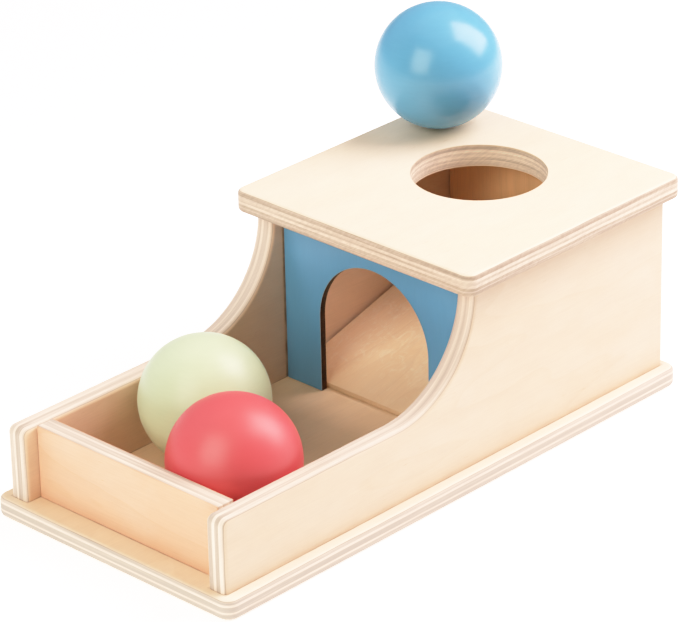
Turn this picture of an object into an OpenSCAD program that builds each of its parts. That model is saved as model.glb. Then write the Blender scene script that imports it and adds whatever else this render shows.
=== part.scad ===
// Object permanence box: a plywood tray with a lidded chamber, and three wooden balls.
// A ball dropped through the hole in the lid rolls down a ramp and out through an arched doorway.
// Origin: centre of the base plate's underside. +X is right, +Y is the chamber end, +Z is up.

/* [Side walls] */
// Length of the side walls
box_l = 241; // [220:1:270]
// Width over the outer faces of the side walls
box_w = 112; // [104:1:124]
// Thickness of the side walls
side_t = 9; // [6:0.5:10]
// Height of the side walls along the tray
tray_h = 29.5; // [22:0.5:32]
// Height of the side walls at the chamber
chamber_h = 71.5; // [68:0.5:84]
// Short upright stretch of edge between the scoop and the top plate
scoop_upright = 1; // [0.5:0.5:12]
// Length of the full-height part of the side walls
chamber_l = 109.5; // [100:0.5:116]
// Radius of the upper front corner of each side wall
nose_r = 3; // [2.2:0.1:8]
// Radius of the rounding along the edges of the side walls
side_edge_r = 2; // [0.5:0.1:2.5]

/* [Base plate] */
// Thickness of the base plate
base_t = 8; // [7:0.5:12]
// How far the base plate reaches past the outer faces of the side walls
base_side_margin = 5; // [2:0.25:12]
// How far the base plate reaches past the ends of the side walls
base_end_margin = 3.75; // [2:0.25:12]
// Radius of the base plate's corners in plan
base_corner_r = 5; // [3:0.5:12]
// Radius of the rounding along the base plate's edges
base_edge_r = 1.8; // [0.5:0.1:2.6]

/* [Front panel] */
// Thickness of the front panel
front_t = 8; // [6:0.5:10]
// How far the side walls stand out past the front panel
front_inset = 6.5; // [2:0.5:12]
// Radius of the rounding along the front panel's top edges
front_edge_r = 1.2; // [0.4:0.1:2.5]

/* [Arch panel] */
// Thickness of the arch panel
arch_t = 3; // [2:0.5:5]
// How far the arch panel stands behind the top of the scoop
arch_setback = 5; // [3:0.5:8]
// Gap between the arch panel and each side wall
arch_side_gap = 0.6; // [0.1:0.1:0.8]
// Gap beside a ball in the doorway
door_side_gap = 3; // [1:0.5:6]
// Height of the arch panel over the doorway
door_head = 11.5; // [8:0.5:16]

/* [Back panel] */
// Thickness of the back panel
back_t = 8; // [6:0.5:10]
// How far the side walls stand out past the back panel
back_inset = 2; // [0:0.5:4]

/* [Top plate] */
// Thickness of the top plate
top_t = 9; // [7:0.5:12]
// How far the top plate reaches past the outer faces of the side walls
top_side_margin = 4.5; // [2:0.5:12]
// How far the top plate reaches past the side walls at the back
top_back_margin = 5; // [2:0.5:12]
// How far the top plate reaches past the top of the scoop
top_front_margin = 7.5; // [2:0.5:14]
// Radius of the top plate's corners in plan
top_corner_r = 4.5; // [3:0.5:12]
// Radius of the rounding along the top plate's edges
top_edge_r = 1.8; // [0.5:0.1:2.6]
// Gap round a ball in the drop hole
hole_gap = 1.5; // [0.5:0.25:3]
// Distance from the top plate's back edge to the centre of the drop hole
hole_back = 49; // [42:0.5:56]

/* [Ramp] */
// Thickness of the ramp
ramp_t = 2; // [1.5:0.5:5]
// Gap between the arch panel and the foot of the ramp
ramp_foot_gap = 1.1; // [0.3:0.1:3]
// Slope of the ramp, in degrees
ramp_angle = 16; // [8:0.5:18]
// Width of the cleat under the high end of the ramp
cleat_w = 8; // [5:0.5:14]
// Height of the cleat at its front face
cleat_h = 8; // [5:0.5:12]
// Gap from each end of the cleat to the side wall
cleat_end_gap = 12; // [1:0.5:20]

/* [Balls] */
// Diameter of the balls
ball_d = 50; // [46:0.5:54]
// Distance from the top plate's left edge to where the blue ball rests
blue_left = 17.6; // [10:0.1:20]
// Distance from the top plate's back edge to where the blue ball rests
blue_back = 24.6; // [12:0.1:28]
// Gap between the red ball and the right side wall
red_side_gap = 1.3; // [0.3:0.1:4]
// Gap between the red ball and the front panel
red_front_gap = 1.3; // [0.3:0.1:4]

/* [Dowels] */
// Diameter of the blind dowels
dowel_d = 4; // [3:0.5:4.5]
// Depth of each dowel in the face of a board
dowel_face_depth = 5; // [3:0.25:5.5]
// Depth of each dowel in the edge of a board
dowel_edge_depth = 10; // [6:0.5:12]
// Distance from a board's end to its first dowel
dowel_end = 20; // [18:0.5:26]
// Distance from the base plate to the lowest dowel of the front and back panels
dowel_low = 7; // [6:0.5:8]
// Dowels between the base plate and each side wall
base_dowel_count = 4; // [3:1:6]
// Dowels between the top plate and each side wall
top_dowel_count = 3; // [2:1:4]

/* [Hidden] */
$fn = 96;

// Overrun of every cut past the face that it opens
overrun = 1;
// Gap between a ball and what it rests on or against
ball_gap = 0.3;
// Gap at the sides and the high end of the ramp
ramp_gap = 0.8;
// Radial gap for glue round a dowel
glue_gap = 0.05;
// Space past each end of a dowel
dowel_end_gap = 0.5;
// Chamfer on the ends of a dowel
dowel_chamfer = 0.5;

// Places across the box
inner_w = box_w - 2 * side_t;
side_mid_x = (box_w - side_t) / 2;

// Places along the box
box_front_y = -box_l / 2;
box_back_y = box_l / 2;
front_outer_y = box_front_y + front_inset;
front_inner_y = front_outer_y + front_t;
scoop_top_y = box_back_y - chamber_l;
arch_face_y = scoop_top_y + arch_setback;
arch_back_y = arch_face_y + arch_t;
back_inner_y = box_back_y - back_inset - back_t;
top_front_y = scoop_top_y - top_front_margin;
top_back_y = box_back_y + top_back_margin;

// Heights
tray_top_z = base_t + tray_h;
chamber_top_z = base_t + chamber_h;
top_z = chamber_top_z + top_t;

// The scoop: a quarter circle from the tray's edge to the short upright
scoop_r = chamber_h - tray_h - scoop_upright;
scoop_y = scoop_top_y - scoop_r;
scoop_z = tray_top_z + scoop_r;

// The base plate and the top plate
base_w = box_w + 2 * base_side_margin;
base_l = box_l + 2 * base_end_margin;
top_w = box_w + 2 * top_side_margin;
top_l = top_back_y - top_front_y;
top_mid_y = (top_back_y + top_front_y) / 2;
hole_y = top_back_y - hole_back;
hole_d = ball_d + 2 * hole_gap;

// The doorway
door_w = ball_d + 2 * door_side_gap;
door_h = chamber_h - door_head;

// The ramp, whose ends are cut upright
ramp_rise = ramp_t / cos(ramp_angle);
ramp_foot_y = arch_back_y + ramp_foot_gap;
ramp_end_y = back_inner_y - ramp_gap;

// Resting places of the balls
ball_r = ball_d / 2;
red_x = inner_w / 2 - red_side_gap - ball_r;
red_y = front_inner_y + red_front_gap + ball_r;
green_x = max(ball_gap + ball_r - inner_w / 2, red_x - ball_d - ball_gap);
green_y = red_y + sqrt(max(0, pow(ball_d + ball_gap, 2) - pow(red_x - green_x, 2)));
blue_x = -top_w / 2 + blue_left;
blue_y = top_back_y - blue_back;
tray_ball_z = base_t + ball_gap + ball_r;
lid_ball_z = top_z + ball_gap + ball_r;

// Places of the dowels
base_dowel_ys = spread(box_front_y + dowel_end, box_back_y - dowel_end, base_dowel_count);
top_dowel_ys = spread(scoop_top_y + dowel_end, box_back_y - dowel_end, top_dowel_count);
front_dowel_y = (front_outer_y + front_inner_y) / 2;
front_dowel_zs = [base_t + dowel_low, tray_top_z - dowel_low];
back_dowel_y = back_inner_y + back_t / 2;
back_dowel_zs = spread(base_t + dowel_low, chamber_top_z - dowel_end, 3);

// Height of the ramp's underside at a place along the box
function ramp_under(y) = base_t + (y - ramp_foot_y) * tan(ramp_angle);

// Evenly spaced places from a first to a last one
function spread(first, last, count) = [for (i = [0 : count - 1]) first + i * (last - first) / (count - 1)];

// Section through a board's rounded edge: it reaches from x = 0 to x = band, and up by t
module edge_section(band, t, r) {
    square([band - r, t]);
    translate([0, r]) square([band, t - 2 * r]);
    for (z = [r, t - r])
        translate([band - r, z]) intersection() {
            circle(r);
            translate([0, -r]) square([r, 2 * r]);
        }
}

// A straight rounded edge along +Y, its outer side facing +X at x = 0
module straight_edge(len, band, t, r) {
    translate([-band, len, 0]) rotate([90, 0, 0]) linear_extrude(len) edge_section(band, t, r);
}

// A rounded edge round an outside corner: a quarter turn from +X to +Y about the corner's centre
module corner_edge(band, t, r) {
    rotate_extrude(angle = 90) edge_section(band, t, r);
}

// A rounded edge along an inside curve of radius curve_r: a quarter turn from -Y to +X
module curve_edge(curve_r, band, t, r) {
    rotate([0, 0, -90]) rotate_extrude(angle = 90)
        translate([curve_r + band, 0]) mirror([1, 0]) edge_section(band, t, r);
}

// A flat board with rounded corners and all its edges rounded, centred on the origin
module rounded_board(w, l, t, corner_r, r) {
    straight_w = w - 2 * corner_r;
    straight_l = l - 2 * corner_r;
    translate([-straight_w / 2, -straight_l / 2, 0]) cube([straight_w, straight_l, t]);
    for (turn = [0, 180]) rotate([0, 0, turn]) {
        translate([w / 2, -straight_l / 2, 0]) straight_edge(straight_l, corner_r, t, r);
        translate([straight_w / 2, straight_l / 2, 0]) corner_edge(corner_r, t, r);
        rotate([0, 0, 90]) {
            translate([l / 2, -straight_w / 2, 0]) straight_edge(straight_w, corner_r, t, r);
            translate([straight_l / 2, straight_w / 2, 0]) corner_edge(corner_r, t, r);
        }
    }
}

// A dowel across a joint: below z = 0 it is in a board's face, above it in a board's edge
module dowel() {
    r = dowel_d / 2;
    rotate_extrude() polygon([
        [0, -dowel_face_depth],
        [r - dowel_chamfer, -dowel_face_depth],
        [r, dowel_chamfer - dowel_face_depth],
        [r, dowel_edge_depth - dowel_chamfer],
        [r - dowel_chamfer, dowel_edge_depth],
        [0, dowel_edge_depth]
    ]);
}

// The hole for a dowel
module dowel_bore() {
    depth = dowel_face_depth + dowel_edge_depth + 2 * dowel_end_gap;
    translate([0, 0, -dowel_face_depth - dowel_end_gap]) cylinder(h = depth, r = dowel_d / 2 + glue_gap);
}

// Places of the dowels between the base plate and the side wall on one side
module at_base_dowels(side) {
    for (y = base_dowel_ys)
        translate([side * side_mid_x, y, base_t]) children();
}

// Places of the dowels between the top plate and the side wall on one side
module at_top_dowels(side) {
    for (y = top_dowel_ys)
        translate([side * side_mid_x, y, chamber_top_z]) rotate([180, 0, 0]) children();
}

// Places of the dowels between the front panel and the side wall on one side
module at_front_dowels(side) {
    for (z = front_dowel_zs)
        translate([side * inner_w / 2, front_dowel_y, z]) rotate([0, -side * 90, 0]) children();
}

// Places of the dowels between the back panel and the side wall on one side
module at_back_dowels(side) {
    for (z = back_dowel_zs)
        translate([side * inner_w / 2, back_dowel_y, z]) rotate([0, -side * 90, 0]) children();
}

// The part of a side wall inside its rounded edges, as an outline along and up
module side_core_outline() {
    core_front_y = box_front_y + nose_r;
    core_back_y = box_back_y - nose_r;
    translate([core_front_y, base_t]) square([core_back_y - core_front_y, tray_h - nose_r]);
    difference() {
        translate([scoop_y, base_t]) square([core_back_y - scoop_y, chamber_h]);
        translate([scoop_y, scoop_z]) circle(scoop_r + nose_r);
        translate([scoop_y - overrun, scoop_z]) square([scoop_r + nose_r + overrun, chamber_h]);
    }
}

// A side wall lying flat: x runs along the box, y up and z across
module side_board() {
    linear_extrude(side_t) side_core_outline();
    // Back end
    translate([box_back_y, base_t, 0]) straight_edge(chamber_h, nose_r, side_t, side_edge_r);
    // Front end, nose and tray edge
    translate([box_front_y, tray_top_z - nose_r, 0]) rotate([0, 0, 180])
        straight_edge(tray_h - nose_r, nose_r, side_t, side_edge_r);
    translate([box_front_y + nose_r, tray_top_z - nose_r, 0]) rotate([0, 0, 90])
        corner_edge(nose_r, side_t, side_edge_r);
    translate([scoop_y, tray_top_z, 0]) rotate([0, 0, 90])
        straight_edge(scoop_y - box_front_y - nose_r, nose_r, side_t, side_edge_r);
    // Scoop and the short upright above it
    translate([scoop_y, scoop_z, 0]) curve_edge(scoop_r, nose_r, side_t, side_edge_r);
    translate([scoop_top_y, chamber_top_z, 0]) rotate([0, 0, 180])
        straight_edge(scoop_upright, nose_r, side_t, side_edge_r);
}

// The right-hand side wall with its dowel holes
module side_wall() {
    difference() {
        translate([inner_w / 2, 0, 0]) rotate([90, 0, 90]) side_board();
        at_base_dowels(1) dowel_bore();
        at_top_dowels(1) dowel_bore();
        at_front_dowels(1) dowel_bore();
        at_back_dowels(1) dowel_bore();
    }
}

module base_plate() {
    color("#f3e2c4") difference() {
        rounded_board(base_w, base_l, base_t, base_corner_r, base_edge_r);
        for (side = [-1, 1])
            at_base_dowels(side) dowel_bore();
    }
}

module left_side() {
    color("#f1e1c6") mirror([1, 0, 0]) side_wall();
}

module right_side() {
    color("#f3e4cb") side_wall();
}

module front_panel() {
    color("#f0d8b2") difference() {
        translate([-inner_w / 2, front_inner_y, base_t]) rotate([90, 0, 90]) linear_extrude(inner_w)
            mirror([1, 0]) front_section();
        for (side = [-1, 1])
            at_front_dowels(side) dowel_bore();
    }
}

// Section of the front panel: its thickness and its height
module front_section() {
    square([front_t, tray_h - front_edge_r]);
    translate([front_edge_r, 0]) square([front_t - 2 * front_edge_r, tray_h]);
    for (x = [front_edge_r, front_t - front_edge_r])
        translate([x, tray_h - front_edge_r]) circle(front_edge_r);
}

module arch_panel() {
    color("#6ba3c4") translate([0, arch_back_y, base_t]) rotate([90, 0, 0]) linear_extrude(arch_t)
        difference() {
            translate([arch_side_gap - inner_w / 2, 0]) square([inner_w - 2 * arch_side_gap, chamber_h]);
            translate([-door_w / 2, -overrun]) square([door_w, door_h - door_w / 2 + overrun]);
            translate([0, door_h - door_w / 2]) circle(d = door_w);
        }
}

module back_panel() {
    color("#ecd3ab") difference() {
        translate([-inner_w / 2, back_inner_y, base_t]) cube([inner_w, back_t, chamber_h]);
        for (side = [-1, 1])
            at_back_dowels(side) dowel_bore();
    }
}

module top_plate() {
    color("#f6e8cf") difference() {
        translate([0, top_mid_y, chamber_top_z]) rounded_board(top_w, top_l, top_t, top_corner_r, top_edge_r);
        translate([0, hole_y, chamber_top_z - overrun]) cylinder(h = top_t + 2 * overrun, d = hole_d);
        for (side = [-1, 1])
            at_top_dowels(side) dowel_bore();
    }
}

module ramp() {
    end_z = ramp_under(ramp_end_y);
    w = inner_w - 2 * ramp_gap;
    color("#e7cfa6") translate([-w / 2, 0, 0]) rotate([90, 0, 90]) linear_extrude(w) polygon([
        [ramp_foot_y, base_t],
        [ramp_end_y, end_z],
        [ramp_end_y, end_z + ramp_rise],
        [ramp_foot_y, base_t + ramp_rise]
    ]);
}

module ramp_cleat() {
    front_y = back_inner_y - cleat_w;
    low_z = ramp_under(front_y) - cleat_h;
    w = inner_w - 2 * cleat_end_gap;
    color("#e3c796") translate([-w / 2, 0, 0]) rotate([90, 0, 90]) linear_extrude(w) polygon([
        [front_y, low_z],
        [back_inner_y, low_z],
        [back_inner_y, ramp_under(back_inner_y)],
        [front_y, ramp_under(front_y)]
    ]);
}

module base_dowels_left() {
    color("#d9b889") at_base_dowels(-1) dowel();
}

module base_dowels_right() {
    color("#d9b889") at_base_dowels(1) dowel();
}

module top_dowels_left() {
    color("#d9b889") at_top_dowels(-1) dowel();
}

module top_dowels_right() {
    color("#d9b889") at_top_dowels(1) dowel();
}

module front_panel_dowels() {
    color("#d9b889") for (side = [-1, 1])
        at_front_dowels(side) dowel();
}

module back_panel_dowels() {
    color("#d9b889") for (side = [-1, 1])
        at_back_dowels(side) dowel();
}

module blue_ball() {
    color("#5aa6d6") translate([blue_x, blue_y, lid_ball_z]) sphere(d = ball_d);
}

module green_ball() {
    color("#c9deae") translate([green_x, green_y, tray_ball_z]) sphere(d = ball_d);
}

module red_ball() {
    color("#e65c66") translate([red_x, red_y, tray_ball_z]) sphere(d = ball_d);
}

base_plate();
left_side();
right_side();
front_panel();
arch_panel();
back_panel();
top_plate();
ramp();
ramp_cleat();
base_dowels_left();
base_dowels_right();
top_dowels_left();
top_dowels_right();
front_panel_dowels();
back_panel_dowels();
blue_ball();
green_ball();
red_ball();
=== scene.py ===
# Object permanence box: floor, light, camera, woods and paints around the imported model.
import bpy
import math
from mathutils import Matrix, Vector


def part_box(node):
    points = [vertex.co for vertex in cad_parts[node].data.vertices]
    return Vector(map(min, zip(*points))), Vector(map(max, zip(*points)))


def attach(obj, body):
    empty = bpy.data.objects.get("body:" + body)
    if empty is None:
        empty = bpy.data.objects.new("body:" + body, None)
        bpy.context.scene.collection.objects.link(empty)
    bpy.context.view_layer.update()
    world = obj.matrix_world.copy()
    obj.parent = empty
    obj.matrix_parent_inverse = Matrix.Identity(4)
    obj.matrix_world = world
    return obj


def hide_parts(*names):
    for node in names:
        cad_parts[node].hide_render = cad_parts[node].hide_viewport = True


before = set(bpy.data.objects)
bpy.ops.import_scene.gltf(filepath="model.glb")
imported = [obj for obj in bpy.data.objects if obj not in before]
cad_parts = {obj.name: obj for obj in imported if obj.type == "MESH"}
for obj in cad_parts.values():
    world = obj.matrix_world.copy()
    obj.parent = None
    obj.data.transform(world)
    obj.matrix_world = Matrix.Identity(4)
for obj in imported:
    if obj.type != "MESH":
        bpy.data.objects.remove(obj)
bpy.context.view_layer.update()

mm = 0.001

# Camera at the photo's view
viewpoint = {
    "azimuth": 44.16,  # degrees round the box, 0 looks along its length
    "elevation": 25.86,
    "roll": -1.35,
    "distance": 1485.5,  # mm from the aim
    "aim": (-1.14, -0.88, 57.32),  # mm
    "focal": 210.5,  # mm
    "film": 36,  # mm wide
    "reach": 50,  # m
}


def placeCamera(v):
    turn, lift, roll = (math.radians(v[k]) for k in ("azimuth", "elevation", "roll"))
    flat = math.cos(lift)
    back = Vector((math.sin(turn) * flat, -math.cos(turn) * flat, math.sin(lift)))
    side = Vector((0, 0, 1)).cross(back).normalized()
    top = back.cross(side)
    right = side * math.cos(roll) + top * math.sin(roll)
    up = top * math.cos(roll) - side * math.sin(roll)
    data = bpy.data.cameras.new("camera")
    data.sensor_width = v["film"]
    data.lens = v["focal"]
    data.clip_end = v["reach"]
    camera = bpy.data.objects.new("camera", data)
    bpy.context.scene.collection.objects.link(camera)
    camera.matrix_world = Matrix((right, up, back)).transposed().to_4x4()
    camera.matrix_world.translation = (Vector(v["aim"]) + back * v["distance"]) * mm
    bpy.context.scene.camera = camera


placeCamera(viewpoint)
print("camera placed")

# Studio: soft lamps round a pale floor, places and sizes in mm, power in W. Shine says whether
# a lamp is mirrored in the paint
lamps = {
    "key": {
        "place": (351, 597, 663), "size": (600, 870),
        "power": 16.2, "colour": (1.0, 0.87, 0.89), "shine": True,
    },
    "front": {
        "place": (40, -520, 390), "size": (380, 500),
        "power": 3.25, "colour": (1.0, 0.955, 0.84), "shine": True,
    },
    "left": {
        "place": (-1100, -300, 900), "size": (1500, 1500),
        "power": 12.5, "colour": (0.79, 0.79, 0.93), "shine": False,
    },
    "top": {
        "place": (60, 300, 1300), "size": (1800, 1800),
        "power": 7.0, "colour": (1.0, 0.93, 0.86), "shine": True,
    },
}
lampAim = (0, 0, 50)
sky = {"colour": (0.95, 0.98, 1.0), "strength": 0.4}
# light in, tone out: a soft shoulder, so that pale wood in full light keeps its colour
filmCurve = (
    (0, 0), (0.3, 0.3), (0.62, 0.61), (0.85, 0.775),
    (1.15, 0.905), (1.4, 0.965), (1.8, 1), (3, 1),
)


def hangLamp(name, lamp):
    data = bpy.data.lights.new(name, "AREA")
    data.shape = "RECTANGLE"
    data.size, data.size_y = (s * mm for s in lamp["size"])
    data.energy = lamp["power"]
    data.color = lamp["colour"]
    holder = bpy.data.objects.new(name + "Lamp", data)
    bpy.context.scene.collection.objects.link(holder)
    spot = Vector(lamp["place"]) * mm
    holder.location = spot
    holder.rotation_euler = (Vector(lampAim) * mm - spot).to_track_quat("-Z", "Y").to_euler()
    holder.visible_camera = False
    holder.visible_glossy = lamp["shine"]


def setTone(points):
    settings = bpy.context.scene.view_settings
    settings.view_transform = "Standard"
    settings.use_curve_mapping = True
    mapping = settings.curve_mapping
    mapping.use_clip = True
    mapping.clip_max_x, mapping.clip_max_y = points[-1]
    curve = mapping.curves[-1]  # the one for all colours together
    while len(curve.points) < len(points):
        curve.points.new(*points[1])
    for point, spot in zip(curve.points, points):
        point.location = spot
    mapping.update()


def lightSky(v):
    # white surroundings that only show in what shines
    world = bpy.data.worlds.new("studioSky")
    world.use_nodes = True
    background = world.node_tree.nodes["Background"]
    background.inputs["Color"].default_value = (*v["colour"], 1)
    background.inputs["Strength"].default_value = v["strength"]
    world.cycles_visibility.diffuse = False
    bpy.context.scene.world = world


for name in lamps:
    hangLamp(name, lamps[name])
setTone(filmCurve)
lightSky(sky)
print("lamps hung:", ", ".join(lamps))


def newMaterial(name):
    material = bpy.data.materials.new(name)
    material.use_nodes = True
    material.node_tree.nodes.clear()
    return material, material.node_tree


def addNode(tree, kind, inputs, **settings):
    node = tree.nodes.new("ShaderNode" + kind)
    for key, value in settings.items():
        setattr(node, key, value)
    for socket, value in inputs.items():
        if isinstance(value, bpy.types.NodeSocket):
            tree.links.new(value, node.inputs[socket])
        else:
            node.inputs[socket].default_value = value
    return node


def calc(tree, operation, a, b=0.0):
    return addNode(tree, "Math", {0: a, 1: b}, operation=operation).outputs[0]


def add(tree, a, b):
    return calc(tree, "ADD", a, b)


def subtract(tree, a, b):
    return calc(tree, "SUBTRACT", a, b)


def multiply(tree, a, b):
    return calc(tree, "MULTIPLY", a, b)


def remap(tree, value, band, low=0.0, high=1.0):
    # a value within the band, spread from low to high
    spread = {"From Min": band[0], "From Max": band[1], "To Min": low, "To Max": high}
    return addNode(tree, "MapRange", {"Value": value, **spread}).outputs["Result"]


plainNoise = {"detail": 2.0, "roughness": 0.5, "distortion": 0.0}  # where a pattern names no other
noiseMiddle = (0.3, 0.7)  # most of any noise lies here
noiseMean = 0.5


def noise(tree, vector, pattern):
    # a pattern's swings are per mm, along each axis
    spread = addNode(tree, "VectorMath", {0: vector, 1: pattern["swings"]}, operation="MULTIPLY")
    inputs = {"Vector": spread.outputs[0], "Scale": 1.0}
    for key in plainNoise:
        inputs[key.capitalize()] = pattern.get(key, plainNoise[key])
    return addNode(tree, "TexNoise", inputs).outputs["Fac"]


def banded(tree, vector, pattern, low=0.0, high=1.0):
    # the part of a noise that lies in its band
    return remap(tree, noise(tree, vector, pattern), pattern["band"], low, high)


def vary(tree, value, amount):
    # about 1, more or less by the amount
    return remap(tree, value, noiseMiddle, 1 - amount, 1 + amount)


def colourRamp(tree, value, stops):
    node = addNode(tree, "ValToRGB", {"Fac": value})
    line = node.color_ramp
    while len(line.elements) < len(stops):
        line.elements.new(1.0)
    for element, (spot, shade) in zip(line.elements, sorted(stops)):
        element.position = spot
        element.color = (shade, shade, shade, 1)
    return node.outputs["Color"]


def blend(tree, amount, a, b):
    node = addNode(tree, "Mix", {"Factor": amount}, data_type="RGBA")
    sockets = [socket for socket in node.inputs if socket.type == "RGBA"]
    for socket, value in zip(sockets, (a, b)):
        if isinstance(value, bpy.types.NodeSocket):
            tree.links.new(value, socket)
        else:
            socket.default_value = (*value, 1)
    return next(socket for socket in node.outputs if socket.type == "RGBA")


def blendValue(tree, amount, a, b):
    return addNode(tree, "Mix", {"Factor": amount, "A": a, "B": b}).outputs["Result"]


def scaled(tree, colour, amount):
    return addNode(tree, "VectorMath", {0: colour, "Scale": amount}, operation="SCALE").outputs[0]


def multiplied(tree, colour, gain):
    return addNode(tree, "VectorMath", {0: colour, 1: gain}, operation="MULTIPLY").outputs[0]


def separate(tree, vector):
    return addNode(tree, "SeparateXYZ", {"Vector": vector}).outputs


def combine(tree, x, y, z):
    return addNode(tree, "CombineXYZ", {"X": x, "Y": y, "Z": z}).outputs[0]


def objectPlace(tree, centre=(0, 0, 0), tilt=0.0):
    # place on the piece in mm, from a centre, turned about X by a tilt in degrees
    source = addNode(tree, "TexCoord", {})
    inputs = {
        "Vector": source.outputs["Object"],
        "Location": [-c for c in centre],
        "Rotation": (math.radians(tilt), 0, 0),
        "Scale": (1 / mm,) * 3,
    }
    return addNode(tree, "Mapping", inputs).outputs[0], source.outputs["Normal"]


def finishMaterial(tree, colour, roughness, height, depth, **shader):
    bump = addNode(tree, "Bump", {"Strength": 1.0, "Distance": depth * mm, "Height": height})
    inputs = {"Base Color": colour, "Roughness": roughness, "Normal": bump.outputs["Normal"]}
    surface = addNode(tree, "BsdfPrincipled", {**inputs, **shader})
    addNode(tree, "OutputMaterial", {"Surface": surface.outputs[0]})


# Birch plywood: colours, and sizes in mm. Axes are 0, 1, 2 for X, Y, Z
birch = {
    "face": (0.75, 0.535, 0.36),
    "faceDark": (0.60, 0.38, 0.21),
    "faceWarm": (0.76, 0.515, 0.34),
    "facePale": (0.78, 0.58, 0.41),
    "pale": (0.90, 0.70, 0.56),  # a ply cut along its grain
    "grey": (0.47, 0.37, 0.295),  # a ply cut across its grain
    "glue": (0.27, 0.17, 0.10),
    "veneer": 0.4,  # of each face
    "glueWidth": 0.14,
    "figure": 0.12,
    "fibre": 0.035,
    "warmth": 0.5,
    "streak": 1.5,
    "fade": (0, (0, 1), 0.0, 0.5),  # plies even out along an axis, within mm: how far, how pale
    "hole": (0, 0, 0, (1.0, 1.0, 1.0)),  # painted light: its middle and reach in mm, and a gain that lightens its wall
    "shade": (0, ((0, 0.0), (1, 0.0))),  # painted shade: faces darkened along an axis, by these amounts at these mm
    "tint": (0, (0, 1), (1.0, 1.0, 1.0)),  # a gain towards one side: axis, within mm, gain
    "wash": None,  # another colour towards one side: axis, within mm, colour
    "touching": (),  # boards beside which a dark line of painted shade is laid, where they meet this one
    # colour of the painted joint shade
    "jointShade": (0.09, 0.05, 0.03),
    "saw": 0.03,
    "sawPitch": 1.3,  # marks per mm
    "curl": 0.0,
    "tilt": 0.0,  # degrees about X
}
seedStep = (37.0, 91.0, 0.0)  # mm between the places that two boards are cut from
bumpDepth = 0.03  # mm

# Patterns on a face, along the grain, across it and through the board
facePatterns = {
    "hills": {"swings": (0.006, 0.024, 0.01), "detail": 3.0, "roughness": 0.45, "distortion": 0.4},
    "fibre": {"swings": (0.05, 1.7, 1.7), "detail": 4.0, "roughness": 0.6},
    "pores": {"swings": (0.5, 7.0, 7.0), "band": (0.60, 0.72)},
    "flecks": {"swings": (0.16, 1.1, 1.0), "detail": 1.0, "band": (0.72, 0.78)},
    "patches": {"swings": (0.012, 0.03, 0.02), "band": (0.35, 0.65)},
    "clouds": {"swings": (0.03, 0.05, 0.02), "detail": 3.0, "roughness": 0.6, "band": (0.45, 0.7)},
    "flame": {"swings": (0.07, 0.16, 0.05), "detail": 3.0, "roughness": 0.6},
    "curls": {
        "swings": (0.14, 0.2, 0.1), "detail": 4.0, "roughness": 0.7, "distortion": 2.0,
        "band": (0.5, 0.72),
    },
    "contact": {"swings": (0.12, 0.12, 0.12), "band": (0.35, 0.6)},
}
faceFinish = {
    "contours": 8.0,  # on each hill
    "contourLine": ((0.0, 0.0), (0.5, 0.15), (0.85, 0.6), (0.95, 1.0), (1.0, 0.0)),
    "cloudiness": 0.5,
    "fleckiness": 0.35,
    "flame": 0.025,
    "poreShade": 0.06,
    "poreDepth": 0.8,
    "washGrain": (0.95, 1.05),
    "fibreSpan": (0.2, 0.8),
    "roughness": (0.46, 0.58),
    "contact": (0.2, 0.55),  # weakest and strongest part of a line of painted joint shade
}

# Patterns and sizes in a sawn edge
edgePatterns = {
    "waver": {"swings": (0.03, 0.03, 0.0), "band": (0.0, 1.0)},
    "streaks": {"swings": (0.02, 0.02, 0.95), "detail": 3.0, "roughness": 0.6},
    "breaks": {"swings": (0.035, 0.035, 0.5), "band": (0.35, 0.6)},
    "saw": {"detail": 3.0, "roughness": 0.6},
    "specks": {"swings": (4.0, 4.0, 4.0), "detail": 3.0, "roughness": 0.7},
}
edgeFinish = {
    "waver": 0.25,  # mm
    "soft": 0.06,  # mm, half the change from ply to ply
    "line": 0.08,  # mm, half of a thin glue line
    "lineStrength": 0.35,
    "broken": 0.7,  # paleness left where a pale ply breaks up
    "lean": -0.9,  # of the saw marks, sideways for each mm through the board
    "sawDrift": 0.1,  # marks per mm through the board
    "speckle": 0.03,
    "glueShade": 0.6,
    "sawDepth": 0.8,
    "glueDepth": 0.6,
    "skinSoft": 0.03,  # mm, half the change from face to edge
    "heightSpan": (0.0, 1.5),
    "roughness": (0.58, 0.7),
}
maskFade = 0.3  # mm, in which a masked stretch ends
# how far the painted joint shade reaches
jointShadeReach = {
    "past": 0.05,  # mm, past the outline of the board that touches
    "through": 1.5,  # mm, how near that board has to be, through this one's thickness
}


def boardCoordinates(tree, axes, seed, tilt=0.0):
    # along the grain, across it and through the board, shifted by the seed, and the bare places
    bare = separate(tree, objectPlace(tree, tilt=tilt)[0])
    along, across, through = (bare[a] for a in axes)
    shift = [seed * step for step in seedStep]
    turned = combine(tree, along, across, through)
    moved = addNode(tree, "VectorMath", {0: turned, 1: shift}, operation="ADD").outputs[0]
    return moved, through, bare


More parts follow.
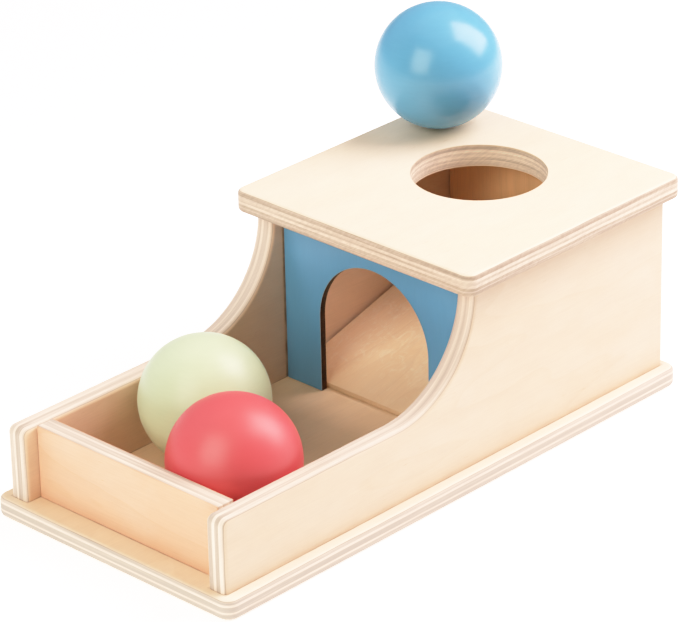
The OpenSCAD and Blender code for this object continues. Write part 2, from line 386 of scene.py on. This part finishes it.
def veneer(tree, spot, look):
    # rotary-cut face: long wavy contours, fine fibre, short pores, a few brown flecks
    p, f = facePatterns, faceFinish
    hills = noise(tree, spot, p["hills"])
    rings = calc(tree, "FRACT", multiply(tree, hills, f["contours"]))
    contour = colourRamp(tree, rings, f["contourLine"])
    fibre = noise(tree, spot, p["fibre"])
    pores = banded(tree, spot, p["pores"])
    flecks = banded(tree, spot, p["flecks"])
    warm = banded(tree, spot, p["patches"], 0.0, look["warmth"])
    cloudy = banded(tree, spot, p["clouds"], 0.0, f["cloudiness"])
    curly = banded(tree, spot, p["curls"], 0.0, look["curl"])
    face = blend(tree, warm, look["face"], look["faceWarm"])
    face = blend(tree, cloudy, face, look["facePale"])
    face = blend(tree, curly, face, look["facePale"])
    face = blend(tree, multiply(tree, contour, look["figure"]), face, look["faceDark"])
    face = blend(tree, multiply(tree, flecks, f["fleckiness"]), face, look["faceDark"])
    flame = vary(tree, noise(tree, spot, p["flame"]), f["flame"])
    shade = multiply(tree, vary(tree, fibre, look["fibre"]), flame)
    shade = subtract(tree, shade, multiply(tree, pores, f["poreShade"]))
    height = subtract(tree, fibre, multiply(tree, pores, f["poreDepth"]))
    return scaled(tree, face, shade), height, fibre


def plyStops(look, thickness):
    # where the plies and the glue lines lie, as parts of the board's thickness
    total = sum(width for width, pale in look["plies"])
    soft, line = edgeFinish["soft"] / thickness, edgeFinish["line"] / thickness
    skin, skinLine = look["veneer"] / thickness, look["glueWidth"] / thickness
    edge, paleness = 0.0, [(0.0, look["plies"][0][1])]
    glue = [(skin - skinLine, 0.0), (skin + skinLine, 1.0), (skin + 2 * skinLine, 0.0)]
    for width, pale in look["plies"]:
        if edge > 0:
            paleness += [(edge - soft, paleness[-1][1]), (edge + soft, pale)]
            glue += [(edge - line, 0.0), (edge, edgeFinish["lineStrength"]), (edge + line, 0.0)]
        edge += width / total
    glue += [(1 - skin - 2 * skinLine, 0.0), (1 - skin - skinLine, 1.0), (1 - skin + skinLine, 0.0)]
    return paleness, glue


def near(tree, place, middle, reach):
    # 1 within the reach of the middle, 0 a little beyond
    off = calc(tree, "ABSOLUTE", subtract(tree, place, middle))
    return remap(tree, off, (reach, reach + maskFade), 1.0, 0.0)


def plies(tree, spot, bare, through, low, high, look):
    # the layers in a sawn edge, pale and grey ones in turn, with glue lines and saw marks, and
    # painted light on a hole's wall
    p, f = edgePatterns, edgeFinish
    thickness = high - low
    waver = banded(tree, spot, p["waver"], -f["waver"], f["waver"])
    depth = subtract(tree, add(tree, through, waver), low)
    part = calc(tree, "DIVIDE", depth, thickness)
    pale, glueLine = (colourRamp(tree, part, stops) for stops in plyStops(look, thickness))
    place = separate(tree, spot)
    lean = multiply(tree, through, f["lean"])
    sawPlace = combine(tree, add(tree, place["X"], lean), add(tree, place["Y"], lean), through)
    swings = (look["sawPitch"], look["sawPitch"], f["sawDrift"])
    saw = noise(tree, sawPlace, {**p["saw"], "swings": swings})
    specks = noise(tree, spot, p["specks"])
    sawn = multiply(tree, vary(tree, saw, look["saw"]), vary(tree, specks, f["speckle"]))
    pale = multiply(tree, pale, banded(tree, spot, p["breaks"], f["broken"], 1.0))
    axis, band, amount, evened = look["fade"]
    pale = blendValue(tree, remap(tree, bare[axis], band, 0.0, amount), pale, evened)
    swing = subtract(tree, noise(tree, spot, p["streaks"]), noiseMean)
    pale = remap(tree, add(tree, pale, multiply(tree, swing, look["streak"])), (0.0, 1.0))
    cut = scaled(tree, blend(tree, pale, look["grey"], look["pale"]), sawn)
    cut = blend(tree, multiply(tree, glueLine, f["glueShade"]), cut, look["glue"])
    # painted light: the edge round a hole lightened by a gain
    middleX, middleY, reach, gain = look["hole"]
    nearX = near(tree, bare["X"], middleX, reach)
    nearY = near(tree, bare["Y"], middleY, reach)
    cut = blend(tree, multiply(tree, nearX, nearY), cut, multiplied(tree, cut, gain))
    height = add(tree, specks, multiply(tree, saw, f["sawDepth"]))
    height = subtract(tree, height, multiply(tree, glueLine, f["glueDepth"]))
    outer = calc(tree, "MINIMUM", depth, subtract(tree, thickness, depth))
    core = remap(tree, outer, (look["veneer"] - f["skinSoft"], look["veneer"] + f["skinSoft"]))
    return cut, height, core


def paintedShadeAlong(tree, bare, shade):
    # painted shade: 1 less the amounts given at places along an axis
    axis, stops = shade
    first, last = stops[0][0], stops[-1][0]
    parts = [((place - first) / (last - first), amount) for place, amount in stops]
    ramp = colourRamp(tree, remap(tree, bare[axis], (first, last)), parts)
    return subtract(tree, 1.0, ramp)


def paintedJointShade(tree, bare, look):
    # painted shade in the joints: 1 under the boards that touch this one and just beside them
    lines = None
    for name in look["touching"]:
        low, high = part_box(name)
        under = None
        for axis in range(3):
            beyond = jointShadeReach["through" if axis == look["axes"][2] else "past"]
            half = (high[axis] - low[axis]) / 2 / mm
            within = near(tree, bare[axis], (low[axis] + high[axis]) / 2 / mm, half + beyond)
            under = within if under is None else multiply(tree, under, within)
        lines = under if lines is None else calc(tree, "MAXIMUM", lines, under)
    return lines


def plywood(name, node, look):
    # the board's own faces and edges, its layers counted from the low face up
    look = {**birch, **look}
    f = faceFinish
    material, tree = newMaterial(name)
    low, high = (corner[look["axes"][2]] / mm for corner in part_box(node))
    spot, through, bare = boardCoordinates(tree, look["axes"], look["seed"], look["tilt"])
    face, height, fibre = veneer(tree, spot, look)
    axis, band, gain = look["tint"]
    face = blend(tree, remap(tree, bare[axis], band), face, multiplied(tree, face, gain))
    # painted shade along one axis of the board
    face = scaled(tree, face, paintedShadeAlong(tree, bare, look["shade"]))
    if look["wash"]:
        axis, band, colour = look["wash"]
        washed = scaled(tree, colour, remap(tree, fibre, (0.0, 1.0), *f["washGrain"]))
        face = blend(tree, remap(tree, bare[axis], band), face, washed)
    roughness = remap(tree, fibre, f["fibreSpan"], *f["roughness"])
    if "plies" in look:
        cut, cutHeight, core = plies(tree, spot, bare, through, low, high, look)
        face = blend(tree, core, face, cut)
        height = blendValue(tree, core, height, cutHeight)
        cutRoughness = remap(tree, cutHeight, edgeFinish["heightSpan"], *edgeFinish["roughness"])
        roughness = blendValue(tree, core, roughness, cutRoughness)
    # painted shade where other boards meet this one
    if look["touching"]:
        contact = banded(tree, spot, facePatterns["contact"], *f["contact"])
        line = multiply(tree, paintedJointShade(tree, bare, look), contact)
        face = blend(tree, line, face, look["jointShade"])
    finishMaterial(tree, face, roughness, height, bumpDepth)
    return material


# Plain wood of the dowels and the batten, its grain along X
plainWood = {
    "fibre": {"swings": (0.06, 1.4, 1.4), "detail": 4.0, "roughness": 0.6},
    "rings": {"swings": (0.01, 0.3, 0.3), "distortion": 0.5},
    "pores": {"swings": (0.5, 6.0, 6.0), "band": (0.6, 0.72)},
    "ringStrength": 2.0,
    "figureSpan": (0.25, 0.75),
    "poreShade": 0.88,
    "fibreSpan": (0.2, 0.8),
    "roughness": (0.5, 0.62),
}


def solidWood(name, look):
    w = plainWood
    material, tree = newMaterial(name)
    spot = boardCoordinates(tree, (0, 1, 2), look["seed"])[0]
    fibre = noise(tree, spot, w["fibre"])
    rings = noise(tree, spot, w["rings"])
    pores = banded(tree, spot, w["pores"])
    figure = multiply(tree, fibre, multiply(tree, rings, w["ringStrength"]))
    tone = blend(tree, remap(tree, figure, w["figureSpan"]), look["dark"], look["light"])
    tone = scaled(tree, tone, remap(tree, pores, (0.0, 1.0), 1.0, w["poreShade"]))
    roughness = remap(tree, fibre, w["fibreSpan"], *w["roughness"])
    finishMaterial(tree, tone, roughness, fibre, bumpDepth)
    return material


def dress(node, material):
    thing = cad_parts[node]
    thing.data.materials.clear()
    thing.data.materials.append(material)


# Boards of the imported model: axes are along the grain, across it and through the board;
# each ply is a thickness and how pale it is, from the low face up
boards = {
    "base_plate": {
        "axes": (1, 0, 2), "seed": 1, "grey": (0.50, 0.415, 0.345), "jointShade": (0.38, 0.25, 0.16),
        "touching": ("left_side", "right_side", "front_panel"),
        "face": (0.78, 0.57, 0.385), "faceWarm": (0.78, 0.545, 0.36),
        "facePale": (0.81, 0.615, 0.44),
        # painted light: the strip outside the right wall is washed paler, where the lamps fall
        # fullest
        "tint": (1, (-100, -60), (0.98, 0.945, 0.86)), "wash": (0, (50, 57), (0.86, 0.70, 0.545)),
        # painted shade on the tray floor, darkest near the right wall and the red ball
        "shade": (1, ((-60, 0.0), (-45, 0.24), (-4, 0.24), (8, 0.03), (12, 0.0))),
        "plies": (
            (0.9, 0.8), (1.7, 0.05), (0.8, 1.0), (2.1, 0.0),
            (1.0, 1.0), (0.7, 0.25), (0.8, 0.5),
        ),
    },
    "top_plate": {
        "axes": (1, 0, 2), "seed": 2, "figure": 0.04, "fibre": 0.02, "saw": 0.13, "sawPitch": 0.8,
        "face": (0.88, 0.70, 0.51), "faceWarm": (0.88, 0.69, 0.49), "facePale": (0.88, 0.72, 0.54),
        "faceDark": (0.74, 0.52, 0.33), "pale": (0.87, 0.65, 0.50), "grey": (0.40, 0.30, 0.22),
        # painted light on the wall of the hole
        "fade": (0, (60.3, 59.3), 0.35, 0.65), "hole": (0, 76.5, 27, (1.32, 1.42, 1.47)),
        "plies": (
            (2.2, 0.15), (0.5, 0.55), (1.0, 0.1), (1.2, 1.0),
            (0.9, 0.4), (1.2, 0.85), (1.3, 0.0), (0.7, 0.4),
        ),
    },
    "left_side": {
        "axes": (1, 2, 0), "seed": 3, "touching": ("arch_panel", "base_plate"),
        "fade": (1, (-118, -112), 0.6, 0.72),
        "plies": ((1.8, 0.8), (1.4, 0.45), (1.2, 1.0), (2.3, 0.0), (1.3, 1.0), (1.0, 0.6)),
    },
    "right_side": {
        "axes": (1, 2, 0), "seed": 4, "figure": 0.14,
        "touching": ("base_plate", "top_plate"), "jointShade": (0.25, 0.15, 0.09),
        "face": (0.735, 0.55, 0.395), "faceWarm": (0.745, 0.54, 0.375),
        "facePale": (0.76, 0.59, 0.44),
        # painted shadow: the wall darkened towards its top, under the lid's overhang
        "fade": (1, (-118, -112), 0.5, 0.62), "shade": (2, ((62, 0.0), (79.5, 0.24))),
        "plies": ((1.0, 0.9), (2.2, 0.1), (1.4, 1.0), (1.9, 0.05), (1.6, 1.0), (0.9, 0.2)),
    },
}
dowelWood = {"seed": 9, "light": (0.74, 0.56, 0.40), "dark": (0.60, 0.42, 0.28)}

for node in boards:
    dress(node, plywood(node + "Plywood", node, boards[node]))
beech = solidWood("beech", dowelWood)
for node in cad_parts:
    if "dowels" in node:
        dress(node, beech)
print("boards and dowels dressed")

sharpAngle = math.radians(40)  # edges sharper than this are eased


def clearSelection():
    bpy.ops.object.select_all(action="DESELECT")


def addBlock(name, low, high):
    clearSelection()
    bpy.ops.mesh.primitive_cube_add(size=1, location=(low + high) / 2)
    block = bpy.context.object
    block.name = name
    block.scale = high - low
    bpy.ops.object.transform_apply(location=True, rotation=True, scale=True)
    return block


def applyModifier(thing, kind, **settings):
    modifier = thing.modifiers.new(kind.lower(), kind)
    for key, value in settings.items():
        setattr(modifier, key, value)
    bpy.context.view_layer.objects.active = thing
    bpy.ops.object.modifier_apply(modifier=modifier.name)


def easeEdges(thing, width):
    bevel = {"width": width * mm, "segments": 3, "limit_method": "ANGLE", "angle_limit": sharpAngle}
    applyModifier(thing, "BEVEL", **bevel)
    clearSelection()
    thing.select_set(True)
    bpy.ops.object.shade_smooth_by_angle(angle=sharpAngle)


def fitPiece(thing, node, material, body="box"):
    thing.data.materials.clear()
    thing.data.materials.append(material)
    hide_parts(node)
    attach(thing, body)


frontPanel = {
    "joint": 0.2,  # mm left open at each side wall
    "foot": 0.1,  # mm left open at the base
    "easing": 0.3,
    "wood": {
        "axes": (0, 2, 1), "seed": 5, "figure": 0.25, "fibre": 0.045,
        "face": (0.795, 0.46, 0.30), "faceDark": (0.65, 0.33, 0.17),
        "faceWarm": (0.785, 0.44, 0.28), "facePale": (0.82, 0.53, 0.38),
        # painted light: the face colours are raised and the upper part shaded again, so the lower
        # part is painted lighter
        "shade": (2, ((8, 0.0), (26, 0.05))),
        "plies": ((1.3, 0.4), (1.3, 1.0), (2.4, 0.4), (1.2, 0.75), (1.8, 0.15)),
    },
}


def makeFrontPanel(v):
    low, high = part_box("front_panel")
    joint = Vector((v["joint"] * mm, 0, 0))
    foot = Vector((0, 0, v["foot"] * mm))
    panel = addBlock("frontPanel", low + joint + foot, high - joint)
    easeEdges(panel, v["easing"])
    wood = plywood("frontPlywood", "front_panel", v["wood"])
    fitPiece(panel, "front_panel", wood)


makeFrontPanel(frontPanel)

archPanel = {
    "door": 28,  # mm, half the doorway
    "crown": 40,  # mm, height of the middle of its round head
    "joint": 0.1,  # mm more open at the left side wall
    "foot": 0.2,  # mm left open at the base
    "easing": 0.3,
    # painted shadow along the top of the panel, under the lid
    "shade": (2, ((76.5, 0.0), (79.5, 0.5))),
    "steps": 128,
    "reach": 5,  # mm, how far the cutters pass the panel
    "blue": ((0.118, 0.335, 0.55), (0.108, 0.31, 0.52)),
    "rim": (0.36, 0.45, 0.51),
    "scorch": ((0.018, 0.008, 0.004), (0.055, 0.022, 0.009)),
    "back": ((0.66, 0.47, 0.30), (0.73, 0.54, 0.36)),
    "clouds": {"swings": (0.03, 0.03, 0.02)},
    "weave": {"swings": (0.7, 0.7, 0.1), "detail": 3.0, "roughness": 0.6},
    "stipple": {"swings": (2.2, 2.2, 2.2)},
    "soot": {"swings": (0.6, 0.2, 0.6), "detail": 3.0, "roughness": 0.6},
    "weaving": 0.015,  # lighter and darker blue
    "weaveDepth": 0.4,
    "sooty": (0.85, 1.1),  # darkest and lightest part of the rim
    "cutFrom": (-0.5, -0.4),  # how far a face looks backward: rim, then laser cut
    "rimFrom": (-0.92, -0.88),  # painted front, then rim
    "backFrom": (0.86, 0.9),  # laser cut, then bare back
    "gloss": (0.5, 0.12),  # of the paint and of the cut
    "roughness": (0.42, 0.5),
    "depth": 0.012,  # mm
}


def archPaint(v):
    # blue front with painted shadow under the lid, pale eased rim, browned laser cut, bare back
    material, tree = newMaterial("archPaint")
    spot, normal = objectPlace(tree)
    facing = separate(tree, normal)["Y"]
    patterns = ("clouds", "weave", "stipple", "soot")
    clouds, weave, stipple, soot = (noise(tree, spot, v[k]) for k in patterns)
    blue = blend(tree, remap(tree, clouds, noiseMiddle), *v["blue"])
    blue = scaled(tree, blue, vary(tree, weave, v["weaving"]))
    # painted shadow under the lid
    blue = scaled(tree, blue, paintedShadeAlong(tree, separate(tree, spot), v["shade"]))
    rim = scaled(tree, v["rim"], remap(tree, soot, noiseMiddle, *v["sooty"]))
    scorch = blend(tree, remap(tree, soot, noiseMiddle), *v["scorch"])
    back = blend(tree, remap(tree, weave, noiseMiddle), *v["back"])
    colour = blend(tree, remap(tree, facing, v["cutFrom"]), rim, scorch)
    colour = blend(tree, remap(tree, facing, v["rimFrom"]), blue, colour)
    colour = blend(tree, remap(tree, facing, v["backFrom"]), colour, back)
    height = add(tree, multiply(tree, weave, v["weaveDepth"]), stipple)
    gloss = remap(tree, facing, v["rimFrom"], *v["gloss"])
    roughness = remap(tree, stipple, noiseMiddle, *v["roughness"])
    finishMaterial(tree, colour, roughness, height, v["depth"], **{"Specular IOR Level": gloss})
    return material


def makeArchPanel(v):
    low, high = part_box("arch_panel")
    low += Vector((v["joint"], 0, v["foot"])) * mm
    panel = addBlock("archPanel", low, high)
    half, crown, reach = v["door"] * mm, v["crown"] * mm, v["reach"] * mm
    doorLow = Vector((-half, low.y - reach, low.z - reach))
    doorway = addBlock("doorway", doorLow, Vector((half, high.y + reach, crown)))
    clearSelection()
    head = {"vertices": v["steps"], "radius": half, "depth": high.y - low.y + 2 * reach}
    middle = (0, (low.y + high.y) / 2, crown)
    lying = (math.pi / 2, 0, 0)
    bpy.ops.mesh.primitive_cylinder_add(location=middle, rotation=lying, **head)
    for cutter in (doorway, bpy.context.object):
        applyModifier(panel, "BOOLEAN", operation="DIFFERENCE", solver="EXACT", object=cutter)
        bpy.data.objects.remove(cutter)
    easeEdges(panel, v["easing"])
    fitPiece(panel, "arch_panel", archPaint(v))


makeArchPanel(archPanel)

backPanel = {
    "joint": 0.6,  # mm left open at each side wall
    "easing": 0.5,
    "wood": {
        "axes": (2, 0, 1), "seed": 6, "figure": 0.3, "fibre": 0.06,
        # painted shade: the face inside the chamber is a deeper brown than the wood, and the wash
        # gives the outer face back the plain birch colour
        "face": (0.79, 0.49, 0.26), "faceWarm": (0.78, 0.47, 0.23), "facePale": (0.80, 0.53, 0.31),
        "wash": (1, (114, 116), (0.75, 0.535, 0.36)),
        "plies": ((1.7, 0.1), (1.0, 1.0), (2.6, 0.2), (1.0, 1.0), (1.7, 0.1)),
    },
}


def makeBackPanel(v):
    low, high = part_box("back_panel")
    joint = Vector((v["joint"] * mm, 0, 0))
    panel = addBlock("backPanel", low + joint, high - joint)
    easeEdges(panel, v["easing"])
    wood = plywood("backPlywood", "back_panel", v["wood"])
    fitPiece(panel, "back_panel", wood)


makeBackPanel(backPanel)

rampBoard = {
    "slope": 16,  # degrees
    "thickness": 2,  # mm
    "easing": 0.3,
    "wood": {
        "axes": (1, 0, 2), "seed": 7, "tilt": -16, "figure": 0.3, "curl": 1.0,
        # painted light: the face colours are paler than the wood, and the shade and the wash take
        # the foot back darker and browner
        "face": (0.88, 0.645, 0.41), "faceWarm": (0.87, 0.62, 0.39), "facePale": (0.93, 0.76, 0.55),
        "faceDark": (0.72, 0.47, 0.27), "shade": (1, ((20, 0.15), (55, 0.0))),
        "tint": (0, (-45.7, -46.15), (0.55, 0.48, 0.42)),  # a dark line beside the left side wall
        "wash": (1, (45, 12), (0.738, 0.505, 0.295)),
    },
}


def makeRamp(v):
    # a flat strip whose far end is lifted, so that both ends stay upright
    low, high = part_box("ramp")
    rise = v["thickness"] * mm / math.cos(math.radians(v["slope"]))
    board = addBlock("rampBoard", low, Vector((high.x, high.y, low.z + rise)))
    middle = (low.y + high.y) / 2
    for vertex in board.data.vertices:
        vertex.select = vertex.co.y > middle
    for edge in board.data.edges:
        edge.select = all(board.data.vertices[i].select for i in edge.vertices)
    for face in board.data.polygons:
        face.select = all(board.data.vertices[i].select for i in face.vertices)
    bpy.ops.object.mode_set(mode="EDIT")
    bpy.ops.transform.translate(value=(0, 0, high.z - low.z - rise))
    bpy.ops.object.mode_set(mode="OBJECT")
    easeEdges(board, v["easing"])
    fitPiece(board, "ramp", plywood("rampPlywood", "ramp", v["wood"]))


makeRamp(rampBoard)

balls = {
    "blue_ball": {
        "piece": "blueBall", "slot": "blue_paint", "seed": 1, "roughness": 0.235, "gloss": 0.44,
        "colour": (0.12, 0.365, 0.57), "shade": (0.11, 0.35, 0.55),
    },
    "green_ball": {
        "piece": "greenBall", "slot": "green_paint", "seed": 2, "roughness": 0.38, "gloss": 0.42,
        "colour": (0.58, 0.66, 0.43), "shade": (0.56, 0.64, 0.41),
    },
    "red_ball": {
        "piece": "redBall", "slot": "red_paint", "seed": 3, "roughness": 0.41, "gloss": 0.55,
        "colour": (0.67, 0.08, 0.09), "shade": (0.64, 0.074, 0.083),
    },
}
turning = {
    "cuts": 11,  # of each cube edge
    "unevenness": 0.04,  # mm
    "clouds": {"swings": (0.06, 0.06, 0.06)},
    "peel": {"swings": (1.1, 1.1, 1.1), "detail": 3.0},
    "lathe": {"swings": (0.15, 0.15, 1.1), "detail": 3.0},
    "ringTone": (0.985, 1.012),
    "peelDepth": 0.7,
    "ringDepth": 0.5,
    "smoother": 0.02,  # than the paint's roughness, on the peel's low places
    "rougher": 0.03,
    "depth": 0.004,  # mm, of the orange peel
}


def ballPaint(name, centre, v):
    # satin paint over a turned ball: clouds, a little orange peel, faint rings from the lathe
    t = turning
    material, tree = newMaterial(name)
    spot = objectPlace(tree, [c / mm for c in centre])[0]
    clouds, peel, rings = (noise(tree, spot, t[k]) for k in ("clouds", "peel", "lathe"))
    tone = blend(tree, remap(tree, clouds, noiseMiddle), v["colour"], v["shade"])
    tone = scaled(tree, tone, remap(tree, rings, noiseMiddle, *t["ringTone"]))
    height = add(tree, multiply(tree, peel, t["peelDepth"]), multiply(tree, rings, t["ringDepth"]))
    low, high = v["roughness"] - t["smoother"], v["roughness"] + t["rougher"]
    roughness = remap(tree, peel, noiseMiddle, low, high)
    finishMaterial(tree, tone, roughness, height, t["depth"], **{"Specular IOR Level": v["gloss"]})
    return material


def makeBall(node, v):
    # a cube cut up fine, pulled round, made slightly uneven as a turned ball is, and smoothed
    low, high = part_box(node)
    centre = (low + high) / 2
    size = high.x - low.x
    clearSelection()
    bpy.ops.mesh.primitive_cube_add(size=size, location=centre)
    ball = bpy.context.object
    ball.name = v["piece"]
    bpy.ops.object.mode_set(mode="EDIT")
    bpy.ops.mesh.select_all(action="SELECT")
    bpy.ops.mesh.subdivide(number_cuts=turning["cuts"])
    bpy.ops.transform.tosphere(value=1.0)
    off = turning["unevenness"] * mm
    bpy.ops.transform.vertex_random(offset=off, uniform=0.0, normal=1.0, seed=v["seed"])
    bpy.ops.object.mode_set(mode="OBJECT")
    applyModifier(ball, "SUBSURF", levels=2, render_levels=2)
    bpy.ops.object.transform_apply(location=True, rotation=True, scale=True)
    reach = max(abs(corner[k] - centre[k]) for corner in ball.bound_box for k in range(3))
    fit = Matrix.Scale(size / 2 / reach, 4)
    ball.data.transform(Matrix.Translation(centre) @ fit @ Matrix.Translation(-centre))
    clearSelection()
    ball.select_set(True)
    bpy.ops.object.shade_smooth()
    fitPiece(ball, node, ballPaint(v["slot"], centre, v), node)


for node in balls:
    makeBall(node, balls[node])

cleat = {
    "easing": 0.6,  # mm
    "seam": 0.01,  # mm, within which loose corners are merged
    "wood": {"seed": 8, "light": (0.76, 0.52, 0.32), "dark": (0.62, 0.40, 0.22)},
}


def makeCleat(v):
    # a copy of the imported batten, merged, with its edges broken
    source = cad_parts["ramp_cleat"]
    batten = source.copy()
    batten.data = source.data.copy()
    batten.parent = None
    for key in list(batten.keys()):
        del batten[key]
    batten.name = "cleatBatten"
    bpy.context.scene.collection.objects.link(batten)
    clearSelection()
    batten.select_set(True)
    bpy.context.view_layer.objects.active = batten
    bpy.ops.object.mode_set(mode="EDIT")
    bpy.ops.mesh.select_all(action="SELECT")
    bpy.ops.mesh.remove_doubles(threshold=v["seam"] * mm)
    bpy.ops.mesh.tris_convert_to_quads()
    bpy.ops.object.mode_set(mode="OBJECT")
    bpy.ops.mesh.customdata_custom_splitnormals_clear()
    easeEdges(batten, v["easing"])
    fitPiece(batten, "ramp_cleat", solidWood("cleatWood", v["wood"]))


makeCleat(cleat)
print("pieces made: frontPanel, archPanel, backPanel, rampBoard, cleatBatten and three balls")

floorSheet = {
    "size": 6,  # m
    "drop": 0.1,  # mm under the base plate
    "tones": ((0.93, 0.93, 0.925), (0.95, 0.95, 0.945)),
    "speck": {"swings": (0.9, 0.9, 0.9)},
    "glow": 0.55,
    "roughness": 0.9,
    "depth": 0.01,  # mm
}


def layFloor(v):
    clearSelection()
    bpy.ops.mesh.primitive_plane_add(size=v["size"], location=(0, 0, -v["drop"] * mm))
    floor = bpy.context.object
    floor.name = "floor"
    material, tree = newMaterial("paperFloor")
    speck = noise(tree, objectPlace(tree)[0], v["speck"])
    tone = blend(tree, remap(tree, speck, noiseMiddle), *v["tones"])
    glow = {"Emission Color": (1, 1, 1, 1), "Emission Strength": v["glow"]}
    finishMaterial(tree, tone, v["roughness"], speck, v["depth"], **glow)
    floor.data.materials.append(material)


layFloor(floorSheet)
